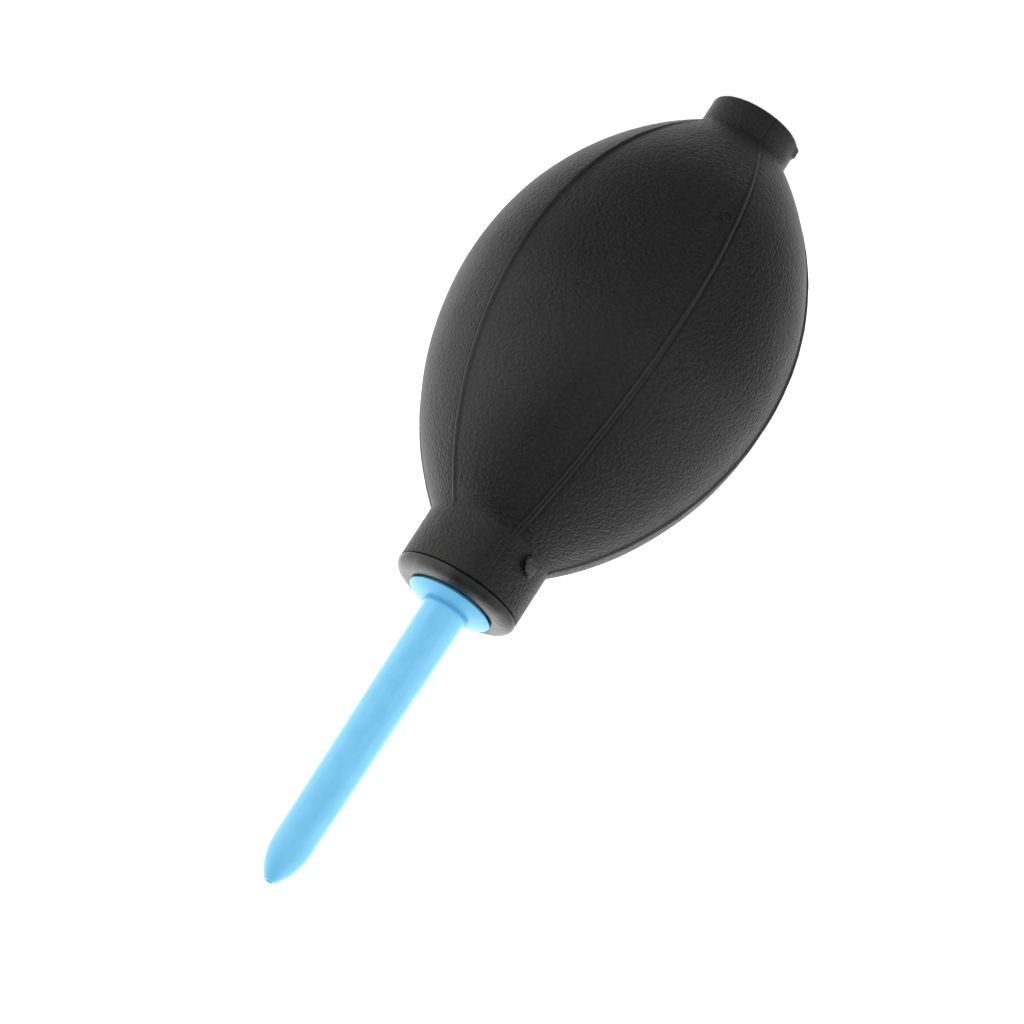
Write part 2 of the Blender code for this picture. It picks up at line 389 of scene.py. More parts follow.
@dataclass(frozen=True)
class GrainedRubber:
    """Matt black rubber with a fine leather grain, rubbed smoother on ridges, with painted highlights
    there, painted shade in the creases and painted light on its +X side.
    """

    pebble: float = 0.50 * MM
    crinkle: float = 0.42 * MM
    grain_depth: float = 0.34 * MM
    worn_patch: float = 14.0 * MM
    cloud: float = 8.0 * MM
    speck: float = 2.3 * MM
    worn_span: Point = (0.36, 0.62)
    collar_end: float = 4.2 * MM
    collar_blend: float = 0.5 * MM
    front_span: Point = (48.0 * MM, 68.0 * MM)
    neck_foot: Point = (75.9 * MM, 76.4 * MM)
    coarse_side: Point = (2.0 * MM, -14.0 * MM)
    coarse_rise: Point = (24.0 * MM, 46.0 * MM)
    belly_start: Point = (13.0 * MM, 22.0 * MM)
    belly_end: Point = (38.0 * MM, 47.0 * MM)
    belly_middle: float = 5.0 * MM
    flank_span: Point = (5.0 * MM, 13.0 * MM)
    side_light_rise: Point = (44.0 * MM, 62.0 * MM)
    side_light_neck: Point = (72.0 * MM, 77.0 * MM)
    side_light_share: float = 0.055
    least_grain: float = 0.50
    worn_grain: float = 0.30
    coarse_grain: float = 0.45
    rubbed_away: float = 0.85
    wear_and_highlight_lift: float = 0.36
    crease_shade_drop: float = 0.45
    collar_drop: float = 0.10
    front_drop: float = 0.32
    belly_drop: float = 0.30
    hollow: tuple[float, ...] = (0.0008, 0.0008, 0.0010)
    crest: tuple[float, ...] = (0.0105, 0.0102, 0.0104)
    pale_tone: tuple[float, ...] = (0.22, 0.22, 0.21)

    def material(self) -> bpy.types.Material:
        """Builds the finish."""
        finish = Finish("grained_rubber", "rest_place")
        pebbles = 1.0 - finish.cells(self.pebble, "SMOOTH_F1") * 1.4
        crinkles = finish.noise(self.crinkle, 2.0)
        worn = finish.noise(self.worn_patch, 2.0).ramp(*self.worn_span)
        wear_highlight_shade = finish.attribute("wear_highlight_shade")
        smooth = wear_highlight_shade.clamped()
        crease = (wear_highlight_shade * -1.0).clamped()
        height = finish.along("Z")
        past_collar = height.ramp(self.collar_end - self.collar_blend, self.collar_end + self.collar_blend)
        ahead = height.ramp(*self.front_span) * (1.0 - height.ramp(*self.neck_foot))
        coarse = finish.along("X").ramp(*self.coarse_side) * height.ramp(*self.coarse_rise)
        keep = self.least_grain + worn * self.worn_grain + coarse * self.coarse_grain
        keep = keep * (1.0 - smooth * self.rubbed_away) * (0.5 + past_collar * 0.5)
        grain = pebbles * 0.45 + crinkles * 0.9
        finish.bump(grain * keep, self.grain_depth)
        cloud = finish.noise(self.cloud, 3.0)
        crests = (grain - 0.62) * keep * 1.5 + 0.5 + (cloud - 0.5) * 0.35
        # Painted highlight and shade: rubbed ridges are lifted lighter, and creases are darkened where
        # shade falls.
        crests = crests + smooth * self.wear_and_highlight_lift - crease * self.crease_shade_drop
        crests = crests - (1.0 - past_collar) * self.collar_drop - ahead * self.front_drop
        sideways = finish.along("X")
        belly = height.ramp(*self.belly_start) * (1.0 - height.ramp(*self.belly_end))
        flank = (sideways - self.belly_middle).maths("ABSOLUTE").ramp(*self.flank_span)
        belly = belly * (0.3 + flank * 0.7)
        crests = crests - belly * self.belly_drop
        finish.colour(crests.ramp(0.0, 1.0), self.hollow, self.crest)
        # Pale specks on the coarse side: dust, and painted glints on the grain's crests.
        specks = 1.0 - finish.cells(self.speck).ramp(0.022, 0.050)
        rare = finish.noise(self.speck * 2.2, 0.0).ramp(0.55, 0.61) * coarse
        finish.cover(specks * rare * 0.8, self.pale_tone)
        # Painted light: a pale wash over the +X side of the front and the neck, where that side is lit
        # more.
        on_neck = height.ramp(*self.side_light_neck)
        side_light = (sideways - (7.5 - on_neck * 6.0) * MM) / ((7.5 - on_neck * 4.0) * MM)
        side_light = side_light.clamped() * height.ramp(*self.side_light_rise)
        finish.cover(side_light * self.side_light_share, self.pale_tone)
        finish.drive("Roughness", 0.60 + (cloud - 0.5) * 0.12 - smooth * 0.12)
        finish.drive("Specular IOR Level", 0.25 - crease * 0.20 + smooth * 0.10 - belly * 0.05)
        return finish.material


@dataclass(frozen=True)
class SmoothRubber:
    """Smooth satin black rubber with a faint painted light on its +X side."""

    dark: tuple[float, ...] = (0.0075, 0.0075, 0.0080)
    light: tuple[float, ...] = (0.0125, 0.0122, 0.0125)
    pale_tone: tuple[float, ...] = (0.22, 0.22, 0.21)
    side_light_span: Point = (3.4 * MM, 5.2 * MM)
    side_light_share: float = 0.115

    def material(self) -> bpy.types.Material:
        """Builds the finish."""
        finish = Finish("smooth_rubber")
        finish.constant(Specular_IOR_Level=0.22)
        haze = finish.noise(3.2 * MM, 4.0)
        finish.colour(haze.ramp(0.35, 0.75), self.dark, self.light)
        # Painted light: a pale wash over the lip's +X side, where that side is lit more.
        side_light = finish.along("X").ramp(*self.side_light_span)
        finish.cover(side_light * self.side_light_share, self.pale_tone)
        finish.drive("Roughness", 0.40 + (haze - 0.5) * 0.25)
        finish.bump(finish.noise(0.5 * MM, 2.0), 0.035 * MM)
        finish.bump(finish.noise(2.2 * MM, 2.0), 0.11 * MM)
        return finish.material


@dataclass(frozen=True)
class BluePlastic:
    """Light blue satin plastic, faintly streaked along its moulding flow."""

    name: str = "blue_plastic"
    deep: tuple[float, ...] = (0.143, 0.482, 0.740)
    pale: tuple[float, ...] = (0.175, 0.526, 0.785)
    tip: tuple[float, ...] = (0.105, 0.410, 0.690)
    tip_span: Point = (127.0 * MM, 134.0 * MM)
    tip_share: float = 0.45
    specular: float = 0.50
    roughness: float = 0.34
    flow: float = 0.9 * MM
    mottle: float = 2.4 * MM

    def material(self) -> bpy.types.Material:
        """Builds the finish."""
        finish = Finish(self.name)
        finish.constant(Specular_IOR_Level=self.specular, Subsurface_Weight=0.12, Subsurface_Scale=0.0012)
        streaks = finish.noise(self.flow, 3.0, finish.stretched(1.0, 1.0, 0.08))
        mottle = finish.noise(self.mottle, 4.0)
        finish.colour((streaks * 0.5 + mottle * 0.5).ramp(0.35, 0.65), self.deep, self.pale)
        finish.cover(finish.along("Z").ramp(*self.tip_span) * self.tip_share, self.tip)
        finish.drive("Roughness", self.roughness + (mottle - 0.5) * 0.16)
        finish.bump(finish.noise(0.35 * MM, 3.0), 0.006 * MM)
        finish.bump(streaks, 0.012 * MM)
        return finish.material


@dataclass(frozen=True)
class ValvePlastic:
    """Satin black moulded plastic with fine turning rings."""

    ring: float = 0.16 * MM
    colour: tuple[float, ...] = (0.030, 0.030, 0.033)
    worn: tuple[float, ...] = (0.055, 0.055, 0.058)

    def material(self) -> bpy.types.Material:
        """Builds the finish."""
        finish = Finish("valve_plastic")
        finish.constant(Specular_IOR_Level=0.45)
        haze = finish.noise(1.4 * MM, 3.0)
        finish.colour(haze.ramp(0.4, 0.8), self.colour, self.worn)
        finish.drive("Roughness", 0.36 + (haze - 0.5) * 0.2)
        rings = finish.tree.nodes.new("ShaderNodeTexWave")
        rings.wave_type = "RINGS"
        rings.rings_direction = "Z"
        rings.inputs["Scale"].default_value = 1.0 / (self.ring * 20.0)
        finish.tree.links.new(finish.place, rings.inputs["Vector"])
        finish.bump(Number(finish.tree, rings.outputs[1]), 0.004 * MM)
        return finish.material


# ---------------------------------------------------------------- outlines and turned solids


def arc(centre: Point, size: Point, start: float, end: float, count: int) -> Outline:
    """Points on an ellipse's arc.

    Args:
        centre: the ellipse's centre, as radius and height.
        size: its half sizes.
        start: the first angle, in degrees from the radius towards the height.
        end: the last angle.
        count: how many points.

    Returns:
        The points.
    """
    angles = [math.radians(start + (end - start) * i / (count - 1)) for i in range(count)]
    return [(centre[0] + size[0] * math.cos(a), centre[1] + size[1] * math.sin(a)) for a in angles]


def rounded(outline: Outline, reach: float, steps: int = 4, sharp: float = 25.0) -> Outline:
    """Rounds the sharp corners of a closed outline.

    Args:
        outline: the outline's corners in order.
        reach: how far from a corner its rounding starts.
        steps: how many pieces a rounding has.
        sharp: the smallest turn that is rounded, in degrees.

    Returns:
        The rounded outline.
    """
    result: Outline = []
    for i, corner in enumerate(outline):
        here = Vector(corner)
        back = Vector(outline[i - 1]) - here
        on = Vector(outline[(i + 1) % len(outline)]) - here
        if corner[0] <= 0.0 or 180.0 - math.degrees(back.angle(on)) < sharp:
            result.append(corner)
            continue
        used = min(reach, back.length * 0.45, on.length * 0.45)
        first = here + back.normalized() * used
        last = here + on.normalized() * used
        for step in range(steps + 1):
            t = step / steps
            place = first * (1.0 - t) ** 2 + here * (2.0 * t * (1.0 - t)) + last * t**2
            result.append((place.x, place.y))
    return result


def piece_from(name: str, shape: bmesh.types.BMesh, crease: float = 38.0) -> bpy.types.Object:
    """Makes an object of a bmesh, smooth but for its creases.

    Args:
        name: the object's name.
        shape: the bmesh, which is freed.
        crease: the angle from which an edge stays sharp, in degrees.

    Returns:
        The object, linked to the scene.
    """
    mesh = bpy.data.meshes.new(name)
    shape.to_mesh(mesh)
    shape.free()
    mesh.shade_smooth()
    mesh.set_sharp_from_angle(angle=math.radians(crease))
    piece = bpy.data.objects.new(name, mesh)
    bpy.context.scene.collection.objects.link(piece)
    return piece


def turned(name: str, outline: Outline, steps: int = 96) -> bpy.types.Object:
    """Turns a closed outline about Z into a solid.

    Args:
        name: the object's name.
        outline: radius and height of each corner. It may touch the axis.
        steps: how many facets go round.

    Returns:
        The object.
    """
    shape = bmesh.new()
    corners = [shape.verts.new((radius, 0.0, height)) for radius, height in outline]
    for start, end in zip(corners, corners[1:] + corners[:1]):
        if start.co.x > 0.0 or end.co.x > 0.0:
            shape.edges.new((start, end))
    bmesh.ops.spin(
        shape,
        geom=shape.verts[:] + shape.edges[:],
        axis=(0.0, 0.0, 1.0),
        cent=(0.0, 0.0, 0.0),
        angle=math.tau,
        steps=steps,
        use_merge=True,
    )
    bmesh.ops.remove_doubles(shape, verts=shape.verts[:], dist=MM * 1e-4)
    bmesh.ops.recalc_face_normals(shape, faces=shape.faces[:])
    return piece_from(name, shape)


def lean(piece: bpy.types.Object, full: float = 1.0, none: float = 2.0) -> None:
    """Moves a piece's points with the neck.

    Args:
        piece: the piece.
        full: up to this height the points move by the neck's whole shift.
        none: from this height on they stay. The shift fades out in between.
    """
    for vertex in piece.data.vertices:
        share = (none - vertex.co.z) / (none - full)
        vertex.co += NECK_SHIFT * min(max(share, 0.0), 1.0)


def dressed(piece: bpy.types.Object, body: Body, nodes: Iterable[str]) -> None:
    """Lets a finished piece ride on a body in place of its CAD nodes.

    Args:
        piece: the finished piece.
        body: the body it rides on.
        nodes: the CAD nodes it stands for.
    """
    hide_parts(*nodes)
    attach(piece, body.value)
    LOG.info("%s: %d faces on %s", piece.name, len(piece.data.polygons), body.value)


# ---------------------------------------------------------------- the rubber bulb


@dataclass(frozen=True)
class Seam:
    """One seam along the bulb: two fine ridges with a shallow crease on either side."""

    turn: float
    spacing: float = 0.12 * MM
    height: float = 0.21 * MM
    width: float = 0.21 * MM
    crease: float = 0.08 * MM
    # How much painted shade darkens the colour in the creases beside the ridges and between them.
    painted_shade: float = 0.10


@dataclass
class Bulb:
    """The moulded bulb with its neck, rear collar and seams, made as a right and a left half.

    The halves meet in the plane x = 0, under the front and the back seam.
    """

    rear_arc: float = 44.4 * MM
    front_arc: float = 49.2 * MM
    collar_radius: float = 7.1 * MM
    neck_radius: float = 9.7 * MM
    wall: float = 2.4 * MM
    neck_bore: float = 7.6 * MM
    inlet_bore: float = 4.4 * MM
    counterbore: float = 5.0 * MM
    counterbore_depth: float = 1.6 * MM
    rim_round: float = 0.65 * MM
    neck_round: float = 0.26 * MM
    fillet: float = 0.6 * MM
    front_seam: Seam = Seam(0.7, 0.27 * MM, 0.17 * MM, 0.15 * MM, 0.09 * MM, 0.22)
    side_seams: tuple[Seam, ...] = (Seam(64.7), Seam(122.35), Seam(180.0))
    rear_spacing: float = 0.07 * MM
    rear_fade: float = 0.55
    crease_width: float = 0.32 * MM
    flash_size: float = 1.6 * MM
    groove_depth: float = 0.17 * MM
    groove_width: float = 0.24 * MM
    neck_line: float = 0.28
    tab_turn: float = 66.0
    tab_width: float = 1.0 * MM
    tab_height: float = 0.40 * MM
    swell: float = 0.06 * MM
    swell_size: float = 11.0 * MM
    row_step: float = 0.7 * MM
    collar_end: float = 4.9 * MM
    collar_step: float = 0.25 * MM
    column_step: float = 1.1 * MM
    seam_reach: float = 1.4 * MM
    seam_columns: int = 18
    bulb_edge: Point = (-0.3 * MM, 0.2 * MM)
    ridge_span: Point = (20.0 * MM, 58.0 * MM)
    fade_span: Point = (6.0 * MM, 18.0 * MM)
    groove_start: Point = (0.6 * MM, 2.6 * MM)
    groove_end: Point = (3.4 * MM, 4.6 * MM)
    tab_start: Point = (0.2 * MM, 0.5 * MM)
    tab_end: Point = (1.6 * MM, 2.0 * MM)
    lean_span: Point = (58.0 * MM, 78.0 * MM)
    ring_place: tuple[float, ...] = (5.1, 22.5 * MM, 0.06 * MM)
    ring_radius: float = 0.88 * MM
    ring_thick: float = 0.10 * MM
    # The ring is rubbed smoother and painted lighter as a highlight.
    ring_wear_and_highlight: float = 0.60
    gate_place: tuple[float, ...] = (-28.5, 78.2 * MM, 0.22 * MM)
    gate_tilt: float = 16.0
    gate_tilt_axis: tuple[float, ...] = (1.0, -0.8, 0.0)
    gate_size: tuple[float, ...] = (1.65 * MM, 1.55 * MM, 0.26 * MM)
    gate_uneven: float = 0.055
    gate_blunt: float = 0.88
    # The nub is rubbed smoother and painted lighter as a highlight.
    gate_wear_and_highlight: float = 0.35
    press_start: float = 8.0 * MM

    def __post_init__(self) -> None:
        """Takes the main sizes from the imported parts."""
        low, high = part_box("bulb_shell")
        self.radius = high.y
        self.neck_end = high.z
        self.rear = low.z
        wall_low, wall_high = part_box("squeeze_wall_right")
        self.widest = (wall_low.z + wall_high.z) / 2.0

    def skin(self, height: float) -> float:
        """The bulb's outer radius at a height, without its relief."""
        beyond = height - self.widest
        bend = self.front_arc if beyond > 0.0 else self.rear_arc
        least = self.neck_radius if beyond > 0.0 else self.collar_radius
        return max(self.radius - bend + math.sqrt(bend**2 - beyond**2), least)

    def seams(self, side: int) -> list[Seam]:
        """The seams of one half. The front one lies a little towards +X, so its turn changes sign."""
        front = Seam(side * self.front_seam.turn, *astuple(self.front_seam)[1:])
        return [front, *self.side_seams]

    def columns(self, side: int) -> list[float]:
        """Angles from the front to the back of a half, close together at each seam."""
        seams = [math.radians(seam.turn) for seam in self.seams(side)]
        reach = self.seam_reach / self.radius
        angles = set()
        for seam in seams:
            for step in range(-self.seam_columns, self.seam_columns + 1):
                angle = seam + reach * step / self.seam_columns
                if -1e-9 <= angle <= math.pi + 1e-9:
                    angles.add(round(min(max(angle, 0.0), math.pi), 7))
        for before, after in zip(seams, seams[1:]):
            start = before + reach
            span = after - reach - start
            count = math.ceil(span * self.radius / self.column_step)
            angles.update(round(start + span * i / count, 7) for i in range(1, count))
        return sorted(angles)

    def skin_rows(self) -> list[Point]:
        """Height and inset of each row on the outside, from the neck's end to the rear rim."""
        quarter = [math.radians(90.0 * i / 5) for i in range(6)]
        neck = self.neck_round
        rows = [(self.neck_end - neck * (1.0 - math.cos(a)), neck * (1.0 - math.sin(a))) for a in quarter]
        top = self.neck_end - neck
        bottom = self.rear + self.rim_round
        for first, last, step in (
            (top, self.collar_end, self.row_step),
            (self.collar_end, bottom, self.collar_step),
        ):
            count = math.ceil((first - last) / step)
            rows += [(first - (first - last) * i / count, 0.0) for i in range(1, count + 1)]
        rows.pop()
        rim = self.rim_round
        rows += [(bottom - rim * math.sin(a), rim * (1.0 - math.cos(a))) for a in quarter]
        return rows

    def hollow(self) -> Outline:
        """The bore and the inner wall, from the rear rim up to the neck's end."""
        rear_size = self.rear_arc - self.wall
        front_size = self.front_arc - self.wall
        rear_centre = self.radius - self.rear_arc
        front_centre = self.radius - self.front_arc
        rear_turn = math.degrees(math.acos((self.inlet_bore - rear_centre) / rear_size))
        front_turn = math.degrees(math.acos((self.neck_bore - front_centre) / front_size))
        inside = [
            (self.counterbore, self.rear),
            (self.counterbore, self.counterbore_depth),
            (self.inlet_bore, self.counterbore_depth),
        ]
        inside += arc((rear_centre, self.widest), (rear_size, rear_size), -rear_turn, 0.0, 20)
        inside += arc((front_centre, self.widest), (front_size, front_size), 0.0, front_turn, 20)[1:]
        return inside + [(self.neck_bore, self.neck_end)]

    def lattice(self, name: str, side: int) -> bpy.types.Object:
        """The half's closed mesh before its outer form is worked out.

        Args:
            name: the object's name.
            side: 1 for the half at +X, -1 for the one at -X.

        Returns:
            The object, whose points know their turn, height, inset and whether they lie on the skin.
        """
        rows = [(self.skin(z) - inset, z, inset, 1.0) for z, inset in self.skin_rows()]
        rows += [(radius, z, 0.0, 0.0) for radius, z in self.hollow()]
        shape = bmesh.new()
        layers = {key: shape.verts.layers.float.new(key) for key in ("turn", "height", "inset", "skin")}
        grid = []
        for angle in self.columns(side):
            column = []
            for radius, z, inset, skin in rows:
                place = (side * radius * math.sin(angle), -radius * math.cos(angle), z)
                vertex = shape.verts.new(place)
                for key, value in (("turn", angle), ("height", z), ("inset", inset), ("skin", skin)):
                    vertex[layers[key]] = value
                column.append(vertex)
            grid.append(column)
        for left, right in zip(grid, grid[1:]):
            for i in range(len(rows)):
                j = (i + 1) % len(rows)
                shape.faces.new((left[i], left[j], right[j], right[i]))
        shape.faces.new(grid[0])
        shape.faces.new(grid[-1])
        bmesh.ops.recalc_face_normals(shape, faces=shape.faces[:])
        mesh = bpy.data.meshes.new(name)
        shape.to_mesh(mesh)
        shape.free()
        half = bpy.data.objects.new(name, mesh)
        bpy.context.scene.collection.objects.link(half)
        return half

    def form_tree(self, side: int, rubber: bpy.types.Material) -> GeometryTree:
        """The rule that gives a half its outer form.

        Args:
            side: 1 for the half at +X, -1 for the one at -X.
            rubber: its finish.

        Returns:
            The tree, which moves the skin's points and stores what the finish reads.
        """
        tree = GeometryTree("bulb_form")
        radius = tree.size("Radius", self.radius)
        widest = tree.size("Widest Height", self.widest)
        rear_arc = tree.size("Rear Arc", self.rear_arc)
        front_arc = tree.size("Front Arc", self.front_arc)
        collar = tree.size("Collar Radius", self.collar_radius)
        neck = tree.size("Neck Radius", self.neck_radius)
        fillet = tree.size("Fillet", self.fillet)
        groove_depth = tree.size("Groove Depth", self.groove_depth)
        turn = tree.attribute("turn")
        height = tree.attribute("height")

        beyond = height - widest
        ahead = beyond.maths("GREATER_THAN", 0.0)
        bend = rear_arc + (front_arc - rear_arc) * ahead
        swept = radius - bend + (bend * bend - beyond * beyond).maths("SQRT")
        least = collar + (neck - collar) * ahead
        form = swept.maths("SMOOTH_MAX", least, fillet)

        on_bulb = (swept - least).ramp(*self.bulb_edge)
        rear_share = height.ramp(*self.ridge_span)
        seam_share = (1.0 - self.rear_fade) + height.ramp(*self.fade_span) * self.rear_fade
        bumps = tree.tree.nodes.new("ShaderNodeTexNoise")
        bumps.inputs["Scale"].default_value = 1.0 / self.flash_size
        uneven = 0.75 + 0.5 * Number(tree.tree, bumps.outputs[0])
        relief = wear_highlight_shade = None
        for seam in self.seams(side):
            spacing = self.rear_spacing + rear_share * (seam.spacing - self.rear_spacing)
            off = (turn - math.radians(seam.turn)) * form
            ridges = (off - spacing).bell(seam.width) + (off + spacing).bell(seam.width)
            crease = (off.maths("ABSOLUTE") - spacing - self.crease_width).bell(self.crease_width * 0.6)
            change = (ridges * seam.height * uneven - crease * seam.crease) * on_bulb * seam_share
            relief = change if relief is None else relief + change
            # The band between the front seam's two ridges and the creases beside every seam are stored as
            # painted shade. The ridges are stored as rubbed wear, which the finish also paints lighter as
            # a highlight.
            between_ridges_shade = off.bell(seam.spacing * 0.4) * rear_share
            ridge_lift_and_crease_shade = (ridges - (crease + between_ridges_shade) * seam.painted_shade) * seam_share
            wear_highlight_shade = ridge_lift_and_crease_shade if wear_highlight_shade is None else wear_highlight_shade + ridge_lift_and_crease_shade
        groove = (turn * form).bell(self.groove_width) + ((turn - math.pi) * form).bell(self.groove_width)
        groove_share = 0.4 + height.ramp(*self.groove_start) * 0.6
        groove_share = groove_share * (1.0 - height.ramp(*self.groove_end)) + ahead * self.neck_line
        relief = relief - groove * groove_depth * groove_share * (1.0 - on_bulb)
        if side < 0:
            wide = ((turn - math.radians(self.tab_turn)) * collar).bell(self.tab_width)
            long = height.ramp(*self.tab_start) * (1.0 - height.ramp(*self.tab_end))
            relief = relief + wide * long * self.tab_height

        noise = tree.tree.nodes.new("ShaderNodeTexNoise")
        noise.inputs["Scale"].default_value = 1.0 / self.swell_size
        noise.inputs["Detail"].default_value = 1.0
        swell = (Number(tree.tree, noise.outputs[0]) - 0.5) * (2.0 * self.swell) * on_bulb

        final = form + relief + swell - tree.attribute("inset")
        place = tree.tree.nodes.new("ShaderNodeCombineXYZ")
        across = final * turn.maths("SINE") * float(side)
        out = final * turn.maths("COSINE") * -1.0
        for socket, value in zip(place.inputs, (across, out, height)):
            tree.tree.links.new(value.socket, socket)
        move = tree.step("GeometryNodeSetPosition")
        tree.tree.links.new(tree.attribute("skin").socket, move.inputs["Selection"])
        tree.tree.links.new(place.outputs[0], move.inputs["Position"])

        shift = tree.tree.nodes.new("ShaderNodeCombineXYZ")
        neck_share = height.ramp(*self.lean_span)
        for socket, amount in zip(shift.inputs, NECK_SHIFT):
            tree.tree.links.new((neck_share * amount).socket, socket)
        lean = tree.step("GeometryNodeSetPosition")
        tree.tree.links.new(shift.outputs[0], lean.inputs["Offset"])

        # Stores the ridges' rub with their painted highlight, and the painted shade in the creases, for
        # the finish to read.
        store_wear_highlight_shade = tree.step("GeometryNodeStoreNamedAttribute")
        store_wear_highlight_shade.data_type = "FLOAT"
        store_wear_highlight_shade.inputs["Name"].default_value = "wear_highlight_shade"
        tree.tree.links.new((wear_highlight_shade * on_bulb).socket, store_wear_highlight_shade.inputs["Value"])
        keep_place = tree.step("GeometryNodeStoreNamedAttribute")
        keep_place.data_type = "FLOAT_VECTOR"
        keep_place.inputs["Name"].default_value = "rest_place"
        where = tree.tree.nodes.new("GeometryNodeInputPosition")
        tree.tree.links.new(where.outputs[0], keep_place.inputs["Value"])
        tree.finish(rubber)
        return tree

    def build(self, rubber: bpy.types.Material) -> None:
        """Builds both halves.

        Args:
            rubber: the grained finish.
        """
        for side, wall, node in (
            (1, Body.WALL_RIGHT, "squeeze_wall_right"),
            (-1, Body.WALL_LEFT, "squeeze_wall_left"),
        ):
            name = "bulb_half_right" if side > 0 else "bulb_half_left"
            half = self.lattice(name, side)
            self.form_tree(side, rubber).applied(half)
            for key in ("turn", "height", "inset", "skin"):
                half.data.attributes.remove(half.data.attributes[key])
            self.add_marks(half, side)
            half.data.shade_smooth()
            half.data.set_sharp_from_angle(angle=math.radians(50.0))
            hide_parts("bulb_shell", node)
            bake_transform(half)
            LOG.info("%s: %d faces, bends with %s", name, len(half.data.polygons), wall.value)

    def place_on_skin(self, turn: float, height: float, raise_by: float = 0.0) -> Matrix:
        """A frame on the skin.

        Args:
            turn: degrees from the front seam, positive towards +X.
            height: the height along the axis.
            raise_by: how far above the skin.

        Returns:
            A matrix whose Z points straight out, whose Y points along the bulb, placed on the skin.
        """
        step = 0.2 * MM
        slope = (self.skin(height + step) - self.skin(height - step)) / (2.0 * step)
        angle = math.radians(turn)
        radial = Vector((math.sin(angle), -math.cos(angle), 0.0))
        along = (radial * slope + Vector((0.0, 0.0, 1.0))).normalized()
        out = (radial - Vector((0.0, 0.0, slope))).normalized()
        across = along.cross(out)
        centre = radial * self.skin(height) + Vector((0.0, 0.0, height)) + out * raise_by
        if height > self.widest:
            centre += NECK_SHIFT
        matrix = Matrix((across, along, out)).transposed().to_4x4()
        matrix.translation = centre
        return matrix

    def add_marks(self, half: bpy.types.Object, side: int) -> None:
        """Joins the small moulding marks to a half.

        Args:
            half: the half's object.
            side: 1 for the half at +X, -1 for the one at -X.
        """
        shape = bmesh.new()
        shape.from_mesh(half.data)
        if side > 0:
            ring = self.place_on_skin(*self.ring_place)
            self.add_ring(shape, ring, self.ring_radius, self.ring_thick)
        else:
            gate = self.place_on_skin(*self.gate_place)
            tilt = Matrix.Rotation(math.radians(self.gate_tilt), 4, Vector(self.gate_tilt_axis))
            self.add_lump(shape, gate @ tilt, self.gate_size, self.gate_uneven, self.gate_blunt)
        shape.to_mesh(half.data)
        shape.free()

    def new_points(self, shape: bmesh.types.BMesh, points: list[bmesh.types.BMVert], worn: float) -> None:
        """Gives added points what the finish reads.

        Args:
            shape: the half's bmesh.
            points: the added points.
            worn: how far they are rubbed smooth and painted lighter as a highlight.
        """
        place = shape.verts.layers.float_vector.get("rest_place")
        wear_highlight_shade = shape.verts.layers.float.get("wear_highlight_shade")
        for vertex in points:
            vertex[place] = vertex.co
            vertex[wear_highlight_shade] = worn

    def add_lump(
        self, shape: bmesh.types.BMesh, where: Matrix, size: tuple[float, ...], uneven: float, blunt: float
    ) -> None:
        """Adds an uneven lump of rubber.

        Args:
            shape: the half's bmesh.
            where: the lump's frame.
            size: its half sizes across, along and out.
            uneven: how much its surface varies.
            blunt: 1 for an ellipsoid, less for flatter faces and steeper sides.
        """
        made = bmesh.ops.create_icosphere(shape, subdivisions=5, radius=1.0)["verts"]
        for vertex in made:
            x, y, z = (math.copysign(abs(c) ** blunt, c) for c in vertex.co)
            wave = math.sin(4.1 * x + 0.6) * math.sin(5.7 * y - 0.4) + 0.5 * math.sin(9.3 * y + 7.0 * x)
            swell = 1.0 + uneven * wave
            vertex.co = where @ Vector((x * size[0] * swell, y * size[1] * swell, z * size[2] * swell))
        self.new_points(shape, made, self.gate_wear_and_highlight)

    def add_ring(self, shape: bmesh.types.BMesh, where: Matrix, radius: float, thick: float) -> None:
        """Adds a fine raised ring.

        Args:
            shape: the half's bmesh.
            where: the ring's frame.
            radius: the ring's radius.
            thick: half of its thickness.
        """
        around, across = 40, 10
        grid = []
        for i in range(around):
            a = math.tau * i / around
            row = []
            for j in range(across):
                b = math.tau * j / across
                reach = radius + thick * math.cos(b)
                spot = Vector((reach * math.cos(a), reach * math.sin(a), thick * math.sin(b)))
                row.append(shape.verts.new(where @ spot))
            grid.append(row)
        for i in range(around):
            after = grid[(i + 1) % around]
            for j in range(across):
                k = (j + 1) % across
                shape.faces.new((grid[i][j], after[j], after[k], grid[i][k]))
        self.new_points(shape, [vertex for row in grid for vertex in row], self.ring_wear_and_highlight)


# ---------------------------------------------------------------- the bung and the nozzle


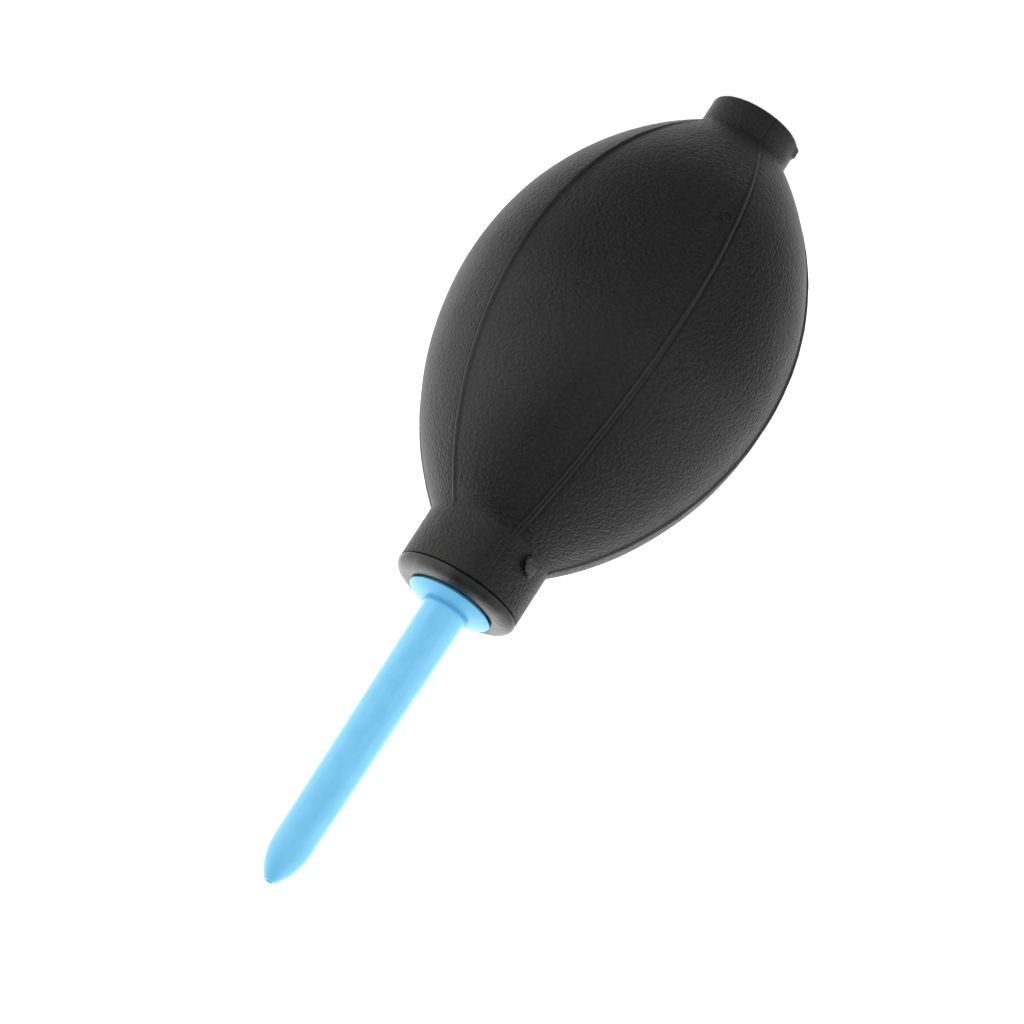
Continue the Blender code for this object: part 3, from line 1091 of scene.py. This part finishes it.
@dataclass
class Bung:
    """The smooth rubber bung: a rounded lip over the neck's end and a ribbed plug inside it."""

    lip_radius: float = 9.75 * MM
    lip_round: float = 2.76 * MM
    plug_radius: float = 7.3 * MM
    waist_radius: float = 6.9 * MM
    bore: float = 5.3 * MM
    crown_radius: float = 6.96 * MM
    inner_radius: float = 6.22 * MM
    inner_drop: float = 0.05 * MM
    recess_depth: float = 0.8 * MM
    under_edge: float = 0.12 * MM
    lip_gap: float = 0.17 * MM
    ribs: int = 3
    rib_steps: tuple[float, ...] = (0.40, 0.60, 0.90)
    end_bevel: float = 0.3 * MM
    crown_inset: float = 0.2 * MM
    corner: float = 0.12 * MM

    def __post_init__(self) -> None:
        """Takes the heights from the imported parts."""
        low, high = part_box("neck_bung")
        self.bottom = low.z
        self.top = high.z
        self.lip_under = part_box("bulb_shell")[1].z + self.lip_gap

    def outline(self) -> Outline:
        """Half of the bung's section, from the lip's crown down the plug and up the bore."""
        edge = self.lip_under + self.under_edge
        centre = (self.lip_radius - self.lip_round, edge)
        points = arc(centre, (self.lip_round, self.top - edge), 90.0, 0.0, 18)
        points += [(self.lip_radius - self.under_edge, self.lip_under), (self.plug_radius, self.lip_under)]
        pitch = (self.lip_under - self.bottom) / self.ribs
        rib_end, waist_start, waist_end = self.rib_steps
        for rib in range(self.ribs):
            top = self.lip_under - rib * pitch
            points += [
                (self.plug_radius, top - rib_end * pitch),
                (self.waist_radius, top - waist_start * pitch),
                (self.waist_radius, top - waist_end * pitch),
            ]
            if rib < self.ribs - 1:
                points.append((self.plug_radius, top - pitch))
        floor = self.top - self.recess_depth
        points.append((self.waist_radius - self.end_bevel, self.bottom))
        points += [(self.bore, self.bottom), (self.bore, floor)]
        points += [(self.inner_radius, floor), (self.inner_radius, self.top - self.inner_drop)]
        points.append((self.crown_radius - self.crown_inset, self.top - self.inner_drop))
        return rounded(points, self.corner)

    def build(self, rubber: bpy.types.Material) -> None:
        """Builds the bung.

        Args:
            rubber: the smooth finish.
        """
        bung = turned("neck_bung_lip", self.outline(), 128)
        lean(bung)
        bung.data.materials.append(rubber)
        dressed(bung, Body.BULB, ["neck_bung"])


@dataclass
class Nozzle:
    """The blue nozzle: a domed flange on a hollow hub, and the slim tube that stands in it."""

    dome_top_radius: float = 4.1 * MM
    dome_drop: float = 0.35 * MM
    dome_rise: float = 0.95 * MM
    rim_thickness: float = 0.14 * MM
    rim_round: float = 0.22 * MM
    undercut_radius: float = 6.15 * MM
    undercut_height: float = 0.15 * MM
    socket_gap: float = 0.03 * MM
    hub_radius: float = 5.0 * MM
    hub_waist: float = 4.75 * MM
    hub_hole: float = 1.9 * MM
    hub_floor: float = 1.4 * MM
    boss_radius: float = 3.70 * MM
    boss_height: float = 0.46 * MM
    boss_undercut: float = 0.28 * MM
    root_radius: float = 3.50 * MM
    taper_radius: float = 3.14 * MM
    tip_curve: float = 8.9 * MM
    tip_power: float = 2.8
    bore_root: float = 1.9 * MM
    bore_taper: float = 1.2 * MM
    tip_hole: float = 0.56 * MM
    tip_hole_depth: float = 3.0 * MM
    tip_length: float = 8.0 * MM
    tip_rows: int = 26
    tip_spread: float = 1.25
    tube_rows: int = 11
    dome_rows: int = 12
    dome_power: float = 1.7
    boss_lip: float = 0.08 * MM
    flange_seat: float = 0.5 * MM
    hub_bands: tuple[float, ...] = (3.0 * MM, 3.4 * MM, 2.0 * MM, 1.6 * MM)
    corner: float = 0.10 * MM

    def __post_init__(self) -> None:
        """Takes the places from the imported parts."""
        low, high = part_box("nozzle_flange")
        self.hub_end = low.z
        self.dome_top = high.z - self.dome_drop
        self.flange_radius = high.x
        self.flange_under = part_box("neck_bung")[1].z - self.flange_seat
        self.tube_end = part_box("nozzle_tube")[0].z
        self.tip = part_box("nozzle_tube")[1].z
        self.taper_end = self.tip - self.tip_length

    def flange_outline(self) -> Outline:
        """Half of the flange's section, from the boss over the dome and the rim and down the hub."""
        socket = self.root_radius + self.socket_gap
        boss_top = self.dome_top + self.boss_height
        foot = self.boss_radius - self.boss_undercut
        band_end, waist_start, waist_end, foot_band = self.hub_bands
        points = [(socket, boss_top + self.boss_lip), (self.boss_radius, boss_top), (foot, self.dome_top)]
        span = self.flange_radius - self.dome_top_radius
        for i in range(self.dome_rows + 1):
            t = i / self.dome_rows
            fall = self.dome_rise * t**self.dome_power
            points.append((self.dome_top_radius + span * t, self.dome_top - fall))
        rim_under = self.dome_top - self.dome_rise - self.rim_thickness
        under = self.flange_under
        points += [
            (self.flange_radius, rim_under),
            (self.undercut_radius, rim_under - self.undercut_height),
            (self.undercut_radius, under),
            (self.hub_radius, under),
            (self.hub_radius, under - band_end),
            (self.hub_waist, under - waist_start),
            (self.hub_waist, self.hub_end + waist_end),
            (self.hub_radius, self.hub_end + foot_band),
            (self.hub_waist, self.hub_end),
            (self.hub_hole, self.hub_end),
            (self.hub_hole, self.hub_end + self.hub_floor),
            (socket, self.hub_end + self.hub_floor),
        ]
        return rounded(points, self.rim_round, 5)

    def tube_radius(self, height: float) -> float:
        """The tube's outer radius at a height: a straight taper, then the tip's curve."""
        if height > self.taper_end:
            share = (height - self.taper_end) / self.tip_curve
            return self.taper_radius * (1.0 - share**self.tip_power)
        share = (height - self.dome_top) / (self.taper_end - self.dome_top)
        return self.root_radius + (self.taper_radius - self.root_radius) * max(share, 0.0)

    def tube_outline(self) -> Outline:
        """Half of the tube's section, from the tip down the outside and up the bore."""
        points = [(self.tip_hole, self.tip)]
        for i in range(self.tip_rows):
            height = self.tip - (self.tip - self.taper_end) * (i / self.tip_rows) ** self.tip_spread
            points.append((self.tube_radius(height), height))
        for i in range(self.tube_rows + 1):
            height = self.taper_end - (self.taper_end - self.dome_top) * i / self.tube_rows
            points.append((self.tube_radius(height), height))
        points += [
            (self.root_radius, self.tube_end),
            (self.bore_root, self.tube_end),
            (self.bore_taper, self.taper_end),
            (self.tip_hole, self.tip - self.tip_hole_depth),
        ]
        return rounded(points, self.corner)

    def build(self, tube_plastic: bpy.types.Material, shaded_flange_plastic: bpy.types.Material) -> None:
        """Builds the flange and the tube.

        Args:
            tube_plastic: the tube's blue finish.
            shaded_flange_plastic: the flange's, the same blue plastic painted darker as painted shade.
        """
        flange = turned("nozzle_flange_dome", self.flange_outline(), 112)
        lean(flange)
        tube = turned("nozzle_tube_fine", self.tube_outline(), 80)
        lean(tube, self.dome_top, self.tip)
        for piece, node, plastic in (
            (flange, "nozzle_flange", shaded_flange_plastic),
            (tube, "nozzle_tube", tube_plastic),
        ):
            piece.data.materials.append(plastic)
            dressed(piece, Body.NOZZLE, [node])


# ---------------------------------------------------------------- the inlet valve


@dataclass
class InletValve:
    """The one-way inlet in the rear collar: a cup with a seat, a loose disc and a crossed cage."""

    head_radius: float = 4.7 * MM
    head_top: float = 1.3 * MM
    stem_radius: float = 4.1 * MM
    barb_radius: float = 5.2 * MM
    barb_height: float = 6.7 * MM
    cup_radius: float = 3.4 * MM
    floor: float = 1.4 * MM
    seat: float = 1.7 * MM
    seat_radius: float = 2.0 * MM
    hole_radius: float = 1.4 * MM
    ring_inner: float = 2.2 * MM
    spoke_width: float = 0.8 * MM
    spoke_height: float = 0.9 * MM
    spokes: int = 4
    spoke_overlap: float = 0.4 * MM
    barb_slope: float = 0.4 * MM
    seat_slope: float = 0.3 * MM
    corner: float = 0.12 * MM
    disc_round: float = 0.15 * MM

    def cup_outline(self) -> Outline:
        """Half of the cup's section."""
        low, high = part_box("inlet_valve_body")
        points = [
            (self.cup_radius, high.z),
            (self.stem_radius, high.z),
            (self.barb_radius, self.barb_height + self.barb_slope),
            (self.barb_radius, self.barb_height),
            (self.stem_radius, self.barb_height),
            (self.stem_radius, self.head_top),
            (self.head_radius, self.head_top),
            (self.head_radius, low.z),
            (self.hole_radius, low.z),
            (self.hole_radius, self.seat),
            (self.seat_radius, self.seat),
            (self.seat_radius + self.seat_slope, self.floor),
            (self.cup_radius, self.floor),
        ]
        return rounded(points, self.corner)

    def disc_outline(self) -> Outline:
        """Half of the disc's section."""
        low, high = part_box("inlet_valve_disc")
        section = [(0.0, high.z), (high.x, high.z), (high.x, low.z), (0.0, low.z)]
        return rounded(section, self.disc_round)

    def cage_tree(self, plastic: bpy.types.Material) -> GeometryTree:
        """The rule that sets spokes across the cage's ring.

        Args:
            plastic: the valve's finish.

        Returns:
            The tree, which adds the spokes to the ring it is given.
        """
        low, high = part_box("inlet_valve_cage")
        tree = GeometryTree("cage_spokes")
        length = tree.size("Spoke Length", self.ring_inner + self.spoke_overlap)
        width = tree.size("Spoke Width", self.spoke_width)
        height = tree.size("Spoke Height", self.spoke_height)
        count = tree.size("Spokes", float(self.spokes))
        nodes, links = tree.tree.nodes, tree.tree.links
        bar = nodes.new("GeometryNodeMeshCube")
        measure = nodes.new("ShaderNodeCombineXYZ")
        for socket, value in zip(measure.inputs, (length, width, height)):
            links.new(value.socket, socket)
        links.new(measure.outputs[0], bar.inputs["Size"])
        shift = nodes.new("GeometryNodeTransform")
        offset = nodes.new("ShaderNodeCombineXYZ")
        links.new((length * 0.5).socket, offset.inputs["X"])
        links.new((height * 0.5 + low.z).socket, offset.inputs["Z"])
        links.new(bar.outputs["Mesh"], shift.inputs["Geometry"])
        links.new(offset.outputs[0], shift.inputs["Translation"])
        spots = nodes.new("GeometryNodeMeshLine")
        links.new(count.socket, spots.inputs["Count"])
        spots.inputs["Offset"].default_value = (0.0, 0.0, 0.0)
        stand = nodes.new("GeometryNodeInstanceOnPoints")
        links.new(spots.outputs["Mesh"], stand.inputs["Points"])
        links.new(shift.outputs["Geometry"], stand.inputs["Instance"])
        index = Number(tree.tree, nodes.new("GeometryNodeInputIndex").outputs[0])
        spin = nodes.new("ShaderNodeCombineXYZ")
        links.new(((index + 0.5) * math.tau / count).socket, spin.inputs["Z"])
        links.new(spin.outputs[0], stand.inputs["Rotation"])
        join = nodes.new("GeometryNodeJoinGeometry")
        links.new(tree.flow, join.inputs[0])
        links.new(stand.outputs[0], join.inputs[0])
        tree.flow = join.outputs[0]
        tree.finish(plastic)
        return tree

    def build(self, plastic: bpy.types.Material, rubber: bpy.types.Material) -> None:
        """Builds the valve's three pieces.

        Args:
            plastic: the valve's finish.
            rubber: the disc's finish.
        """
        cup = turned("valve_cup", self.cup_outline(), 72)
        cup.data.materials.append(plastic)
        dressed(cup, Body.BULB, ["inlet_valve_body"])
        disc = turned("valve_disc", self.disc_outline(), 64)
        disc.data.materials.append(rubber)
        dressed(disc, Body.INLET_DISC, ["inlet_valve_disc"])
        low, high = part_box("inlet_valve_cage")
        square = [(self.ring_inner, high.z), (high.x, high.z), (high.x, low.z), (self.ring_inner, low.z)]
        cage = turned("valve_cage", rounded(square, self.corner), 64)
        self.cage_tree(plastic).applied(cage)
        dressed(cage, Body.BULB, ["inlet_valve_cage"])


# ---------------------------------------------------------------- the studio


@dataclass
class Studio:
    """A pale floor, soft light from a tent with bright sides, and the camera."""

    azimuth: float = 15.1
    elevation: float = 17.5
    distance: float = 1.0
    aim_height: float = 68.2 * MM
    lens: float = 244.1
    roll: float = -147.2
    shift: Point = (-0.0047, -0.0156)
    floor_size: float = 8.0
    tent_all: float = 0.24
    tent_front: float = 0.90
    tent_sides: float = 1.74
    tent_back: float = 2.8
    tent_top: float = 3.8
    tent_below: float = 0.10
    front_span: Point = (0.3, 1.0)
    side_span: Point = (0.08, 0.9)
    back_span: Point = (0.55, 0.87)
    top_rise: Point = (0.17, 0.57)
    top_back: Point = (-0.1, 0.4)
    below_span: Point = (0.4, 0.95)
    seen_white: float = 1.05
    floor_glow: float = 0.85
    floor_tone: float = 0.40

    def view_direction(self) -> Vector:
        """From the object towards the camera."""
        turn, rise = math.radians(self.azimuth), math.radians(self.elevation)
        return Vector((math.sin(turn) * math.cos(rise), -math.cos(turn) * math.cos(rise), math.sin(rise)))

    def camera(self) -> None:
        """Sets the camera."""
        data = bpy.data.cameras.new("camera")
        data.lens = self.lens
        data.sensor_width = 36.0
        data.shift_x, data.shift_y = self.shift
        data.clip_start = 0.05
        data.clip_end = 50.0
        camera = bpy.data.objects.new("camera", data)
        bpy.context.scene.collection.objects.link(camera)
        back = self.view_direction()
        look = (-back).to_track_quat("-Z", "Y").to_matrix().to_4x4()
        place = Matrix.Translation(Vector((0.0, 0.0, self.aim_height)) + back * self.distance)
        camera.matrix_world = place @ look @ Matrix.Rotation(math.radians(self.roll), 4, "Z")
        bpy.context.scene.camera = camera

    def floor(self) -> None:
        """Lays the floor: a pale sheet to the eye, which lets the tent's light through from below."""
        shape = bmesh.new()
        bmesh.ops.create_grid(shape, x_segments=1, y_segments=1, size=self.floor_size / 2.0)
        floor = piece_from("floor", shape)
        material = bpy.data.materials.new("floor_sheet")
        material.use_nodes = True
        tree = material.node_tree
        tree.nodes.remove(tree.nodes["Principled BSDF"])
        nodes, links = tree.nodes, tree.links
        sheet = nodes.new("ShaderNodeBsdfDiffuse")
        sheet.inputs["Color"].default_value = (self.floor_tone,) * 3 + (1.0,)
        glow = nodes.new("ShaderNodeEmission")
        glow.inputs["Strength"].default_value = self.floor_glow
        both = nodes.new("ShaderNodeAddShader")
        links.new(sheet.outputs[0], both.inputs[0])
        links.new(glow.outputs[0], both.inputs[1])
        eye = Number(tree, nodes.new("ShaderNodeLightPath").outputs["Is Camera Ray"])
        under = Number(tree, nodes.new("ShaderNodeNewGeometry").outputs["Backfacing"])
        clear = nodes.new("ShaderNodeBsdfTransparent")
        choose = nodes.new("ShaderNodeMixShader")
        links.new((eye * (1.0 - under)).socket, choose.inputs[0])
        links.new(clear.outputs[0], choose.inputs[1])
        links.new(both.outputs[0], choose.inputs[2])
        links.new(choose.outputs[0], nodes["Material Output"].inputs["Surface"])
        floor.data.materials.append(material)

    def tent(self) -> None:
        """Lights the object softly from both sides, from behind and from above the back."""
        world = bpy.data.worlds.new("tent")
        bpy.context.scene.world = world
        world.use_nodes = True
        tree = world.node_tree
        nodes, links = tree.nodes, tree.links
        direction = nodes.new("ShaderNodeTexCoord").outputs["Generated"]
        split = nodes.new("ShaderNodeSeparateXYZ")
        links.new(direction, split.inputs[0])
        x, y, z = (Number(tree, socket) for socket in split.outputs)
        turn = math.radians(self.azimuth)
        sideways = x * math.cos(turn) + y * math.sin(turn)
        eye = self.view_direction()
        near = x * eye.x + y * eye.y + z * eye.z
        away = near * -1.0
        strength = self.tent_all + near.ramp(*self.front_span) * self.tent_front
        strength = strength + (sideways * sideways).ramp(*self.side_span) * self.tent_sides
        strength = strength + away.ramp(*self.back_span) * self.tent_back
        strength = strength + z.ramp(*self.top_rise) * away.ramp(*self.top_back) * self.tent_top
        strength = strength + (z * -1.0).ramp(*self.below_span) * self.tent_below
        seen = Number(tree, nodes.new("ShaderNodeLightPath").outputs["Is Camera Ray"])
        total = strength * (1.0 - seen) + seen * self.seen_white
        links.new(total.socket, nodes["Background"].inputs["Strength"])
        nodes["Background"].inputs["Color"].default_value = (1.0, 1.0, 1.0, 1.0)

    def build(self) -> None:
        """Sets up everything that isn't the object."""
        self.camera()
        self.floor()
        self.tent()
        view = bpy.context.scene.view_settings
        view.view_transform = "Standard"
        view.look = "None"


def main() -> None:
    """Builds the pieces in order, from the bulb to the valve."""
    logging.basicConfig(level=logging.INFO, format="%(message)s")
    grained = GrainedRubber().material()
    smooth = SmoothRubber().material()
    blue = BluePlastic().material()
    # The flange's copy of the blue plastic, painted darker as painted shade.
    shaded_blue = BluePlastic(
        "blue_plastic_flange_shaded", FLANGE_SHADED_DEEP, FLANGE_SHADED_PALE, specular=0.25, roughness=0.48
    ).material()
    valve = ValvePlastic().material()
    Studio().build()
    Bulb().build(grained)
    Bung().build(smooth)
    Nozzle().build(blue, shaded_blue)
    InletValve().build(valve, smooth)


if __name__ == "__main__":
    main()
